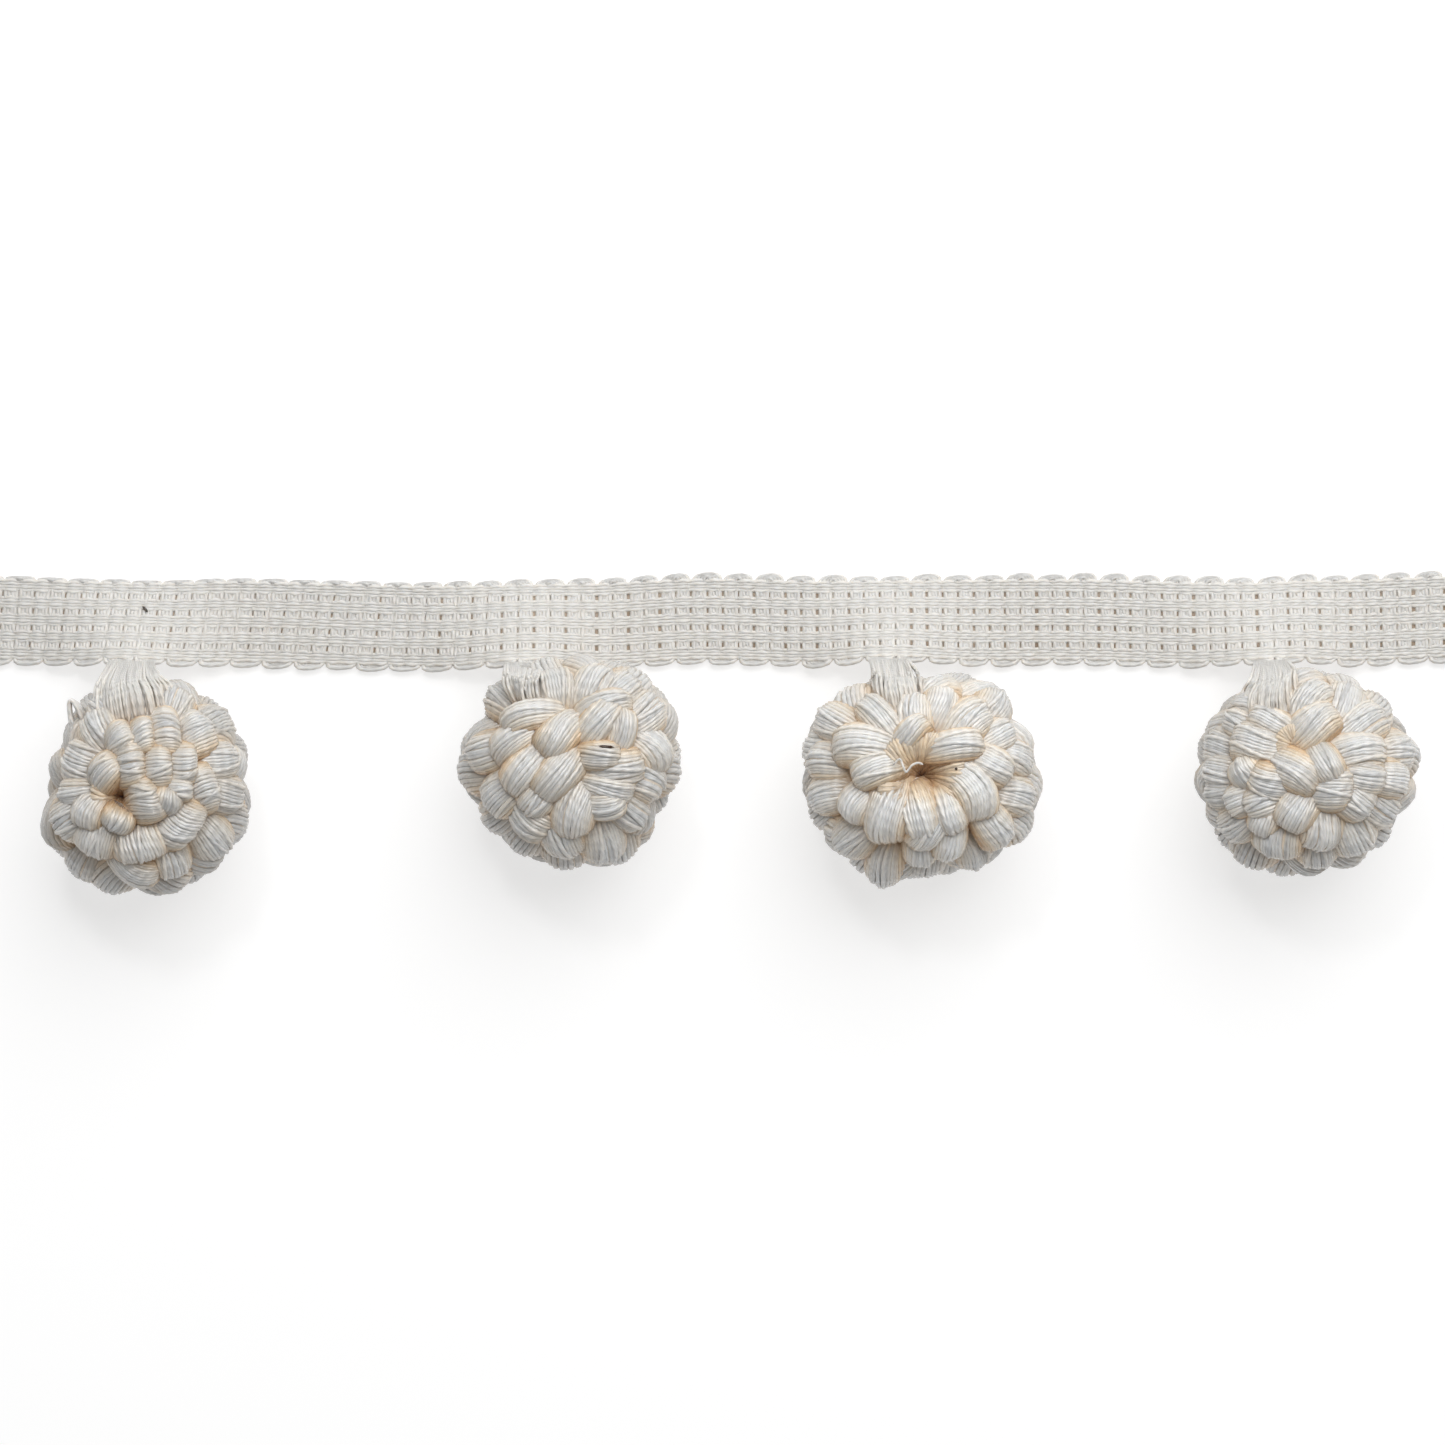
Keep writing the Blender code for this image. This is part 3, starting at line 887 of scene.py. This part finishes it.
def addPetal(skein, bodies, ball, point, row, rng, onTop=True):
    seat = PetalFrame(ball, point, row, onTop)
    pitch = pompom["strandPitch"] if onTop else pompom["hiddenPitch"]
    thick = 1.0 if onTop else pompom["hiddenThick"]
    fan = math.radians(pompom["fan"])
    around = math.sqrt((row.across**2 / 4 + seat.rise**2) / 2) * fan
    count = max(7, round(around / pitch))
    share = np.linspace(0, 1, pompom["strandPoints"])
    waver = pompom["waver"] * np.sin(rng.uniform(3, 8) * share + rng.uniform(0, 2 * math.pi))
    low = min(max((0.7 - seat.out.z) / 1.4, 0), 1)      # 1 where the petal faces down
    # the yarn's own tone at random, with painted shade on the petals that face down
    petalToneAndShade = ball.tone * rng.uniform(0.96, 1.03) * (1 - pompom["underShade"] * low)
    loose = pompom["looseStrands"] if onTop else 0
    crease = pompom["creaseDepth"]
    for number in range(count + loose):
        spread = ((number + 0.5) / count - 0.5) * fan + rng.normal(0, pompom["strandJitter"])
        drift = rng.normal(0, 0.05) * (share - 0.5)
        lift = rng.normal(0, pompom["strandJitter"])
        if number >= count:
            spread = rng.uniform(-0.7, 0.7)
            drift = rng.choice((-1, 1)) * rng.uniform(0.4, 0.8) * (share - 0.5)
            lift = pompom["looseLift"]
        own = pompom["strandWaver"] * np.sin(rng.uniform(3, 9) * share + rng.uniform(0, 6))
        along, across, height = petalPoints(
            row, seat.rise, seat.radius, spread + drift + waver + own, share)
        height = height + lift + own
        # painted shade: light on the petal's crest, darker towards its sides and ends, and darker
        # near an eye
        depth = np.clip(np.cos(spread) * np.sin(math.pi * share) ** 0.7, 0, 1) ** 1.7
        line = seat.place(along, across, height)
        skein.add(
            line, (crease + (1 - crease) * depth) * eyeShade(ball, line),
            tone=petalToneAndShade * rng.uniform(0.92, 1.05), thick=thick * rng.uniform(0.9, 1.08))
    spread = np.linspace(0, 2 * math.pi, pompom["lumpSides"], endpoint=False)[None, :]
    share = np.linspace(0.04, 0.96, pompom["lumpRows"])[:, None]
    along, across, height = petalPoints(row, seat.rise, seat.radius, spread, share)
    part = pompom["bodyPart"]
    bodies.append(seat.place(along * part, across * part, height - (1 - part) * seat.rise))


def bodyMesh(name, grids, depths):
    # closed lumps under the petals: each grid goes round, and its ends are closed
    points, faces = [], []
    start = 0
    for grid in grids:
        rows, columns = grid.shape[:2]
        points.append(grid.reshape(-1, 3))
        for row in range(rows - 1):
            for column in range(columns):
                after = (column + 1) % columns
                low, high = start + row * columns, start + (row + 1) * columns
                faces.append((low + column, high + column, high + after, low + after))
        faces.append(tuple(start + column for column in range(columns)))
        faces.append(tuple(start + rows * columns - 1 - column for column in range(columns)))
        start += rows * columns
    mesh = bpy.data.meshes.new(name)
    mesh.from_pydata((np.concatenate(points) * mm).tolist(), [], faces)
    mesh.materials.append(pompomYarn)
    for mark, values in (("depth", depths), ("tone", [1.0] * len(grids))):
        layer = mesh.attributes.new(mark, "FLOAT", "POINT")
        layer.data.foreach_set("value", np.concatenate([
            np.full(grid.shape[0] * grid.shape[1], value, np.float32)
            for grid, value in zip(grids, values)]))
    mesh.shade_smooth()
    return mesh


def coreGrid(ball):
    down = np.radians(np.linspace(4, 176, 13))[:, None]
    azimuth = np.radians(np.linspace(0, 360, 24, endpoint=False))[None, :]
    reach = levelReach(ball, azimuth) * pompom["corePart"]
    level = np.sin(down) * reach
    x, y = level * np.cos(azimuth), level * np.sin(azimuth)
    z = np.cos(down) * pompom["rise"] * pompom["corePart"]
    # the core is hollow under the ball's eye
    middle = topPoint(ball, ball.eye.x, ball.eye.y)
    off = np.hypot(x - middle.x, y - middle.y)
    near = np.clip(1 - off / (ball.eye.inner + pompom["hollowReach"]), 0, 1)
    z = z - np.where(z > 0, ball.eye.depth * pompom["hollowPart"] * np.sqrt(near), 0)
    return np.stack([ball.x + x, ball.y + y, z + pompom["height"]], axis=-1)


def hiddenPetals(ball, skein, bodies, rng):
    for number, hidden in enumerate(hiddenRows):
        down = math.radians(hidden.down)
        step = 360 / hidden.petals
        for i in range(hidden.petals):
            turn = ball.turn + (i + 0.5 * (number % 2)) * step + rng.uniform(-4, 4)
            azimuth = math.radians(turn)
            tilt = down + math.radians(rng.uniform(-3, 3))
            level = math.sin(tilt)
            aim = Vector((level * math.cos(azimuth), level * math.sin(azimuth), math.cos(tilt)))
            reach = levelReach(ball, azimuth) * pompom["hiddenReach"]
            distance = 1 / math.sqrt((level / reach)**2 + (aim.z / pompom["rise"])**2)
            width = 2 * math.pi * distance * math.sin(down) / hidden.petals * pompom["spread"]
            width = max(width, pompom["hiddenLeastWidth"])
            angle, twist = rng.uniform(-hidden.swing, hidden.swing), rng.uniform(-25, 25)
            row = Petal(0, 0, angle, rng.uniform(*pompom["hiddenLength"]), width, twist, 0)
            addPetal(skein, bodies, ball, aim * distance, row, rng, onTop=False)


def addFleck(skein, ball, starts, ends):
    steps = np.linspace(0, 1, 5)[:, None]
    first, last = np.array(topPoint(ball, *starts)), np.array(topPoint(ball, *ends))
    line = first * (1 - steps) + last * steps
    line = line + np.array([ball.x, ball.y, pompom["height"] + 0.35])
    skein.add(line, 0.0, tone=0.2, thick=0.6)


def addSlackLoop(skein, ball, loop, rng):
    foot = np.array(loop.foot)
    way = np.array(loop.tip) - foot
    for number in range(loop.strands):
        t = np.linspace(0, math.pi, 12)
        side = np.array([-way[1], way[0]])
        side = side / np.linalg.norm(side) * (loop.width / 2 + rng.uniform(-0.2, 0.3))
        reach = np.sin(t)[:, None] * way * rng.uniform(0.9, 1.05)
        flat = foot + reach - np.cos(t)[:, None] * side
        height = pompom["height"] + 2.0 + number * 0.5 + 1.5 * np.sin(t)
        line = np.column_stack([flat + np.array([ball.x, ball.y]), height])
        # painted light: the raised loop is drawn in a crest's light colour
        skein.add(line, 0.95, tone=1.05, thick=0.9)


def addStrayStrand(skein, ball, places):
    line = smoothLine([tuple(topPoint(ball, x, y)) for x, y in places], 18)
    line = line + np.array([ball.x, ball.y, pompom["height"] - 0.5])
    # painted light: the strand is drawn in a crest's light colour
    skein.add(line, 0.9, tone=0.98, thick=0.5)


def addWhorl(skein, ball, rng):
    # strands that run together from under the petals into the ball's eye
    eye = ball.eye
    middle = topPoint(ball, eye.x, eye.y)
    count = round(2 * math.pi * eye.outer / pompom["whorlPitch"])
    share = np.linspace(0, 1, pompom["whorlPoints"])
    # painted shade, darker further down into the eye
    depth = np.interp(share, pompom["whorlShadePlaces"], pompom["whorlShades"])
    for number in range(count):
        azimuth = 2 * math.pi * (number + rng.uniform(-0.4, 0.4)) / count
        reach = np.interp(share, pompom["whorlWay"], (eye.outer, eye.inner, pompom["whorlEnd"]))
        reach = reach + rng.normal(0, 0.15) * share
        azimuth = azimuth + rng.uniform(*pompom["whorlSwirl"]) * share
        x = middle.x + reach * np.cos(azimuth)
        y = middle.y + reach * np.sin(azimuth)
        fall = eye.brim + eye.depth * share ** pompom["whorlSteepness"]
        fall = fall + pompom["whorlTuck"] * (1 - np.minimum(share / 0.4, 1)) ** 2
        z = middle.z - fall + rng.normal(0, 0.08)
        line = np.column_stack([ball.x + x, ball.y + y, pompom["height"] + z])
        skein.add(line, depth, tone=rng.uniform(0.9, 1.1))


def makePompom(ball):
    rng = np.random.default_rng(pompom["seed"] + int(ball.name))
    skein = Skein()
    bodies = [coreGrid(ball)]
    for row in ball.petals:
        size = pompom["spread"]
        row = row._replace(along=row.along * size, across=row.across * size)
        addPetal(skein, bodies, ball, topPoint(ball, row.x, row.y), row, rng)
    hiddenPetals(ball, skein, bodies, rng)
    addWhorl(skein, ball, rng)
    if ball.name in slackLoops:
        addSlackLoop(skein, ball, slackLoops[ball.name], rng)
    if ball.name in seedFlecks:
        addFleck(skein, ball, *seedFlecks[ball.name])
    if ball.name in strayStrands:
        addStrayStrand(skein, ball, strayStrands[ball.name])
    strands = skein.tubes(
        "pompomStrands" + ball.name, pompom["strandThickness"], pompom["strandSides"], pompomYarn)
    # painted shade: the core shows dark in the gaps between petals, and the lumps under the strands
    # give the grooves a warm mid shade
    depths = [0.14] + [0.5] * (len(bodies) - 1)
    body = linked("pompomBody" + ball.name, bodyMesh("pompomBody" + ball.name, bodies, depths))
    for piece in (strands, body):
        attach(piece, "root")
        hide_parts("pompom_" + ball.name)


# The hangers

hangerYarn = {
    "strands": 50,
    "layerGap": 0.28,
    "footWander": 0.4,
    "onBall": 0.4,            # how far the strands lie over the ball
    "way": ((0.5, 1), (0.8, 1), (1.0, -0.5), (1.25, -5)),  # shares of the way in, and of onBall
    "depths": (0.85, 0.35),   # painted shade, lighter at the heading and darker where the strands go in
    "tuck": 0.9,              # into the heading
    "tuckHeight": 0.45,
    "points": 16,
    "thickness": 0.50,
    "seed": 41,
}

# How the strands of each hanger spread: the width at the heading, and where the left, the
# middle and the right ones go into the ball, from its middle as the camera sees it.
Fan = namedtuple("Fan", "width left middle right")
fans = {
    "1": Fan(6.6, (-7.9, 12.0), (-2.2, 12.4), (3.8, 14.2)),
    "2": Fan(5.9, (-9.6, 11.8), (-7.4, 11.0), (-4.6, 11.4)),
    "3": Fan(5.9, (-7.6, 14.4), (-3.8, 11.8), (-0.8, 14.6)),
    "4": Fan(4.8, (-10.0, 11.6), (-5.8, 10.6), (-2.4, 14.2)),
}


def makeHanger(ball):
    rng = np.random.default_rng(hangerYarn["seed"] + int(ball.name))
    skein = Skein()
    fan = fans[ball.name]
    width = heading["width"]
    middle = np.array([ball.x, ball.y, pompom["height"]])
    strands = hangerYarn["strands"]
    for number in range(strands):
        share = (number + 0.5) / strands
        layer = np.array([0, 0, (number % 2 - 0.5) * hangerYarn["layerGap"]])
        x = np.array(ball.hanger + (share - 0.5) * fan.width)
        edge = onHeading(x, -width / 2, hangerYarn["tuckHeight"]) + layer
        inside = onHeading(x, -width / 2 + hangerYarn["tuck"], hangerYarn["tuckHeight"]) + layer
        foot = np.array(fan.left) * (1 - share) * (1 - 2 * share)
        foot = foot + np.array(fan.middle) * 4 * share * (1 - share)
        foot = foot + np.array(fan.right) * share * (2 * share - 1)
        foot = foot + rng.normal(0, hangerYarn["footWander"], 2)
        start = (edge - middle)[:2]
        way = foot - start
        stops = [inside, edge + [0, 0.1, 0]]
        for part, over in hangerYarn["way"]:
            point = topPoint(ball, *(start + way * part))
            out = outwards(ball, point)
            point = point + out * (hangerYarn["onBall"] * over)
            stops.append(np.array(point) + middle + layer)
        line = smoothLine(stops, hangerYarn["points"])
        depth = np.linspace(*hangerYarn["depths"], hangerYarn["points"])
        skein.add(line, depth, tone=rng.uniform(0.96, 1.03), cut=True)
    piece = skein.tubes("hangerStrands" + ball.name, hangerYarn["thickness"], 6, headingYarn)
    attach(piece, "root")
    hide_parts("hanger_" + ball.name)


for ball in balls:
    makePompom(ball)
    makeHanger(ball)
    print("pompom", ball.name, "looped")


# The table, the light and the camera

light = {
    "world": 0.28,
    "keyPlace": (240.0, 560.0, 740.0),
    "keySize": 1000.0,
    "keyPower": 8.0,
    "glintPlace": (-160.0, 420.0, 700.0),
    "glintSize": 140.0,
    "glintPower": 0.9,
    "floorColour": (0.45, 0.45, 0.45),
    "floorGlow": 0.62,
    "floorHalf": 1500.0,
}


def makeFloor():
    half = light["floorHalf"] * mm
    corners = [(-half, -half, 0), (half, -half, 0), (half, half, 0), (-half, half, 0)]
    mesh = bpy.data.meshes.new("whiteTable")
    mesh.from_pydata(corners, [], [(0, 1, 2, 3)])
    board = Board("tableWhite")
    board.shader.inputs["Base Color"].default_value = (*light["floorColour"], 1.0)
    board.shader.inputs["Roughness"].default_value = 0.9
    board.shader.inputs["Emission Color"].default_value = (1.0, 1.0, 1.0, 1.0)
    board.shader.inputs["Emission Strength"].default_value = light["floorGlow"]
    mesh.materials.append(board.material)
    floor = linked("whiteTable", mesh)


def softLight(name, place, size, power):
    lamp = bpy.data.lights.new(name, "AREA")
    lamp.shape = "DISK"
    lamp.size = size * mm
    lamp.energy = power
    holder = bpy.data.objects.new(name, lamp)
    holder.location = Vector(place) * mm
    holder.rotation_euler = (-holder.location).to_track_quat("-Z", "Y").to_euler()
    bpy.context.scene.collection.objects.link(holder)


def makeCamera():
    lens = bpy.data.cameras.new("photoCamera")
    lens.sensor_width = photo["sensor"]
    lens.lens = photo["sensor"] * photo["cameraHeight"] / (photo["pixelSize"] * photo["pixels"])
    camera = bpy.data.objects.new("photoCamera", lens)
    x, y = photo["centre"]
    camera.location = Vector((x, y, photo["cameraHeight"])) * mm
    bpy.context.scene.collection.objects.link(camera)
    bpy.context.scene.camera = camera


makeFloor()
softLight("keyLight", light["keyPlace"], light["keySize"], light["keyPower"])
softLight("glintLight", light["glintPlace"], light["glintSize"], light["glintPower"])
world = bpy.data.worlds.new("studio")
world.use_nodes = True
world.node_tree.nodes["Background"].inputs["Color"].default_value = (1.0, 1.0, 1.0, 1.0)
world.node_tree.nodes["Background"].inputs["Strength"].default_value = light["world"]
bpy.context.scene.world = world
bpy.context.scene.view_settings.view_transform = "Standard"
makeCamera()
print("table, light and camera set")
